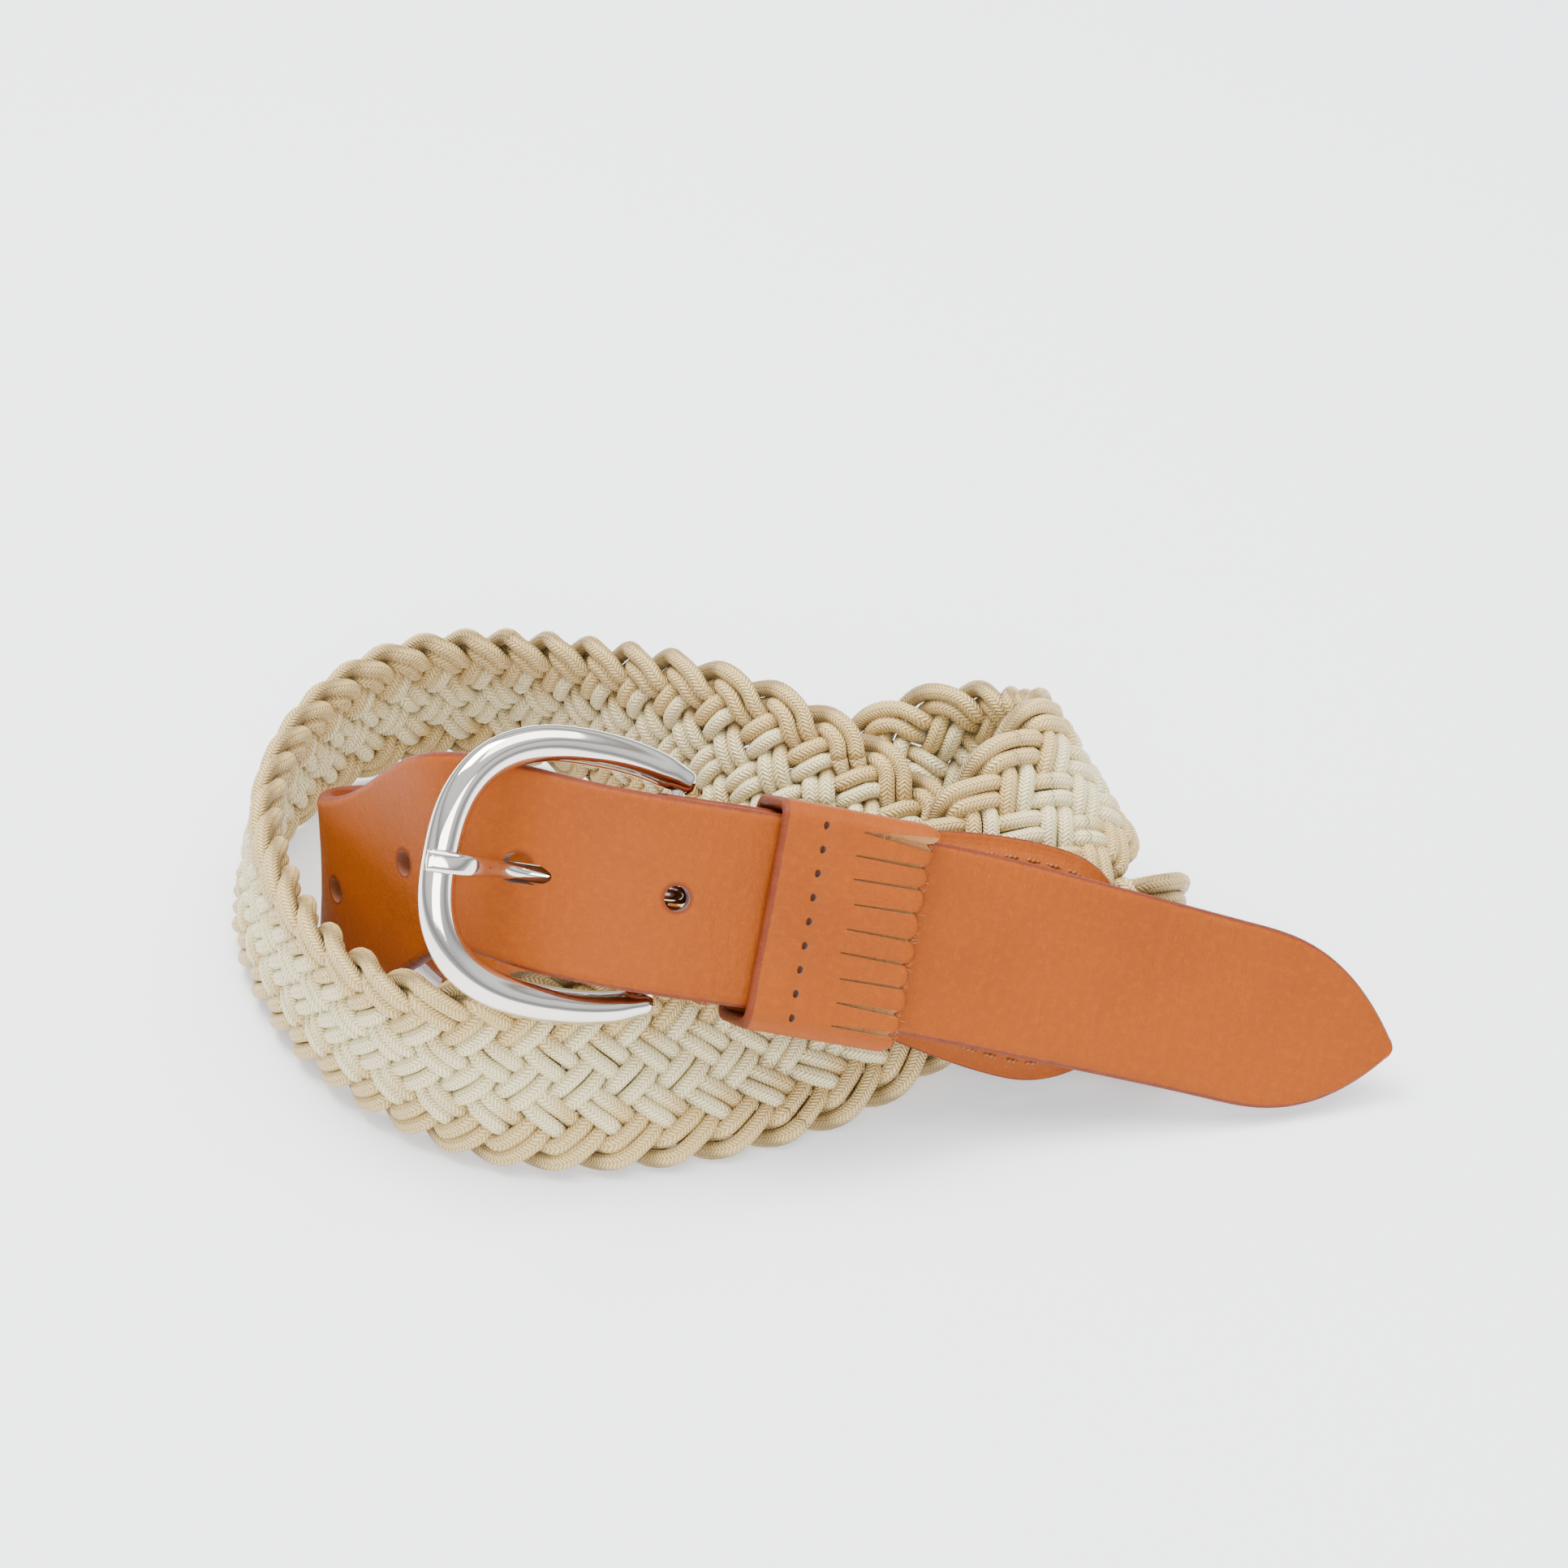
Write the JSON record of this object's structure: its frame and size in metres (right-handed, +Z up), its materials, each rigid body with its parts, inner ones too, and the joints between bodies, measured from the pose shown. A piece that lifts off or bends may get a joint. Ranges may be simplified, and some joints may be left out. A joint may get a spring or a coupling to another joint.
{
  "type": "braided belt",
  "caption": "Flat braided elastic-cord belt with leather ends, heel-bar buckle and fringed keeper, buckled and rolled into a coil.",
  "frame": {"origin": "centre of the footprint's bounding box, on the surface the coil stands on", "axes": "+Z up; -Y towards the buckle's side of the coil; +X towards the billet's free tip"},
  "size_m": [0.1872, 0.1106, 0.0667],
  "materials": {
    "tan_leather": "satin, dark burnished edges",
    "lining_leather": "matt",
    "polished_nickel": "polished",
    "linen_thread": "waxed thread",
    "elastic_cord": "braided elastic cord, tan edges and cream middle"
  },
  "bodies": {
    "belt": {"buckle_tab": "tan_leather", "tab_stitching": "linen_thread", "bar_stitching": "linen_thread", "billet_strap": "tan_leather", "joint_backing": "lining_leather", "joint_stitching": "linen_thread", "braid_right_turn": "elastic_cord", "braid_far_rise": "elastic_cord", "braid_far_run": "elastic_cord", "braid_left_end": "elastic_cord", "braid_front_left": "elastic_cord", "braid_front_right": "elastic_cord", "braid_small_loop": "elastic_cord", "braid_small_return": "elastic_cord", "braid_inner_run": "elastic_cord"},
    "frame": {"buckle_frame": "polished_nickel", "heel_bar": "polished_nickel"},
    "prong": {"buckle_prong": "polished_nickel"},
    "keeper": {"keeper_band": "tan_leather", "keeper_staple": "polished_nickel"},
    "tip": {"billet_tip": "tan_leather"}
  },
  "joints": [
    {"name": "frame_swing", "type": "hinge", "parent": "belt", "child": "frame", "pos_m": [-0.02084, -0.03355, 0.03898], "axis": [0.156, 0.592, 0.7907], "range_deg": [0, 2]},
    {"name": "prong_swing", "type": "hinge", "parent": "frame", "child": "prong", "pos_m": [-0.02084, -0.03355, 0.03898], "axis": [0.156, 0.592, 0.7907], "range_deg": [0, 2]},
    {"name": "keeper_slide", "type": "slide", "parent": "belt", "child": "keeper", "axis": [0.9461, 0.1086, -0.305], "range_m": [-0.006, 0]},
    {"name": "tip_flex", "type": "hinge", "parent": "belt", "child": "tip", "pos_m": [0.0196, -0.03647, 0.03199], "axis": [-0.1975, -0.5986, -0.7763], "range_deg": [0, 40], "stiffness_Nm_per_rad": 0.02}
  ]
}
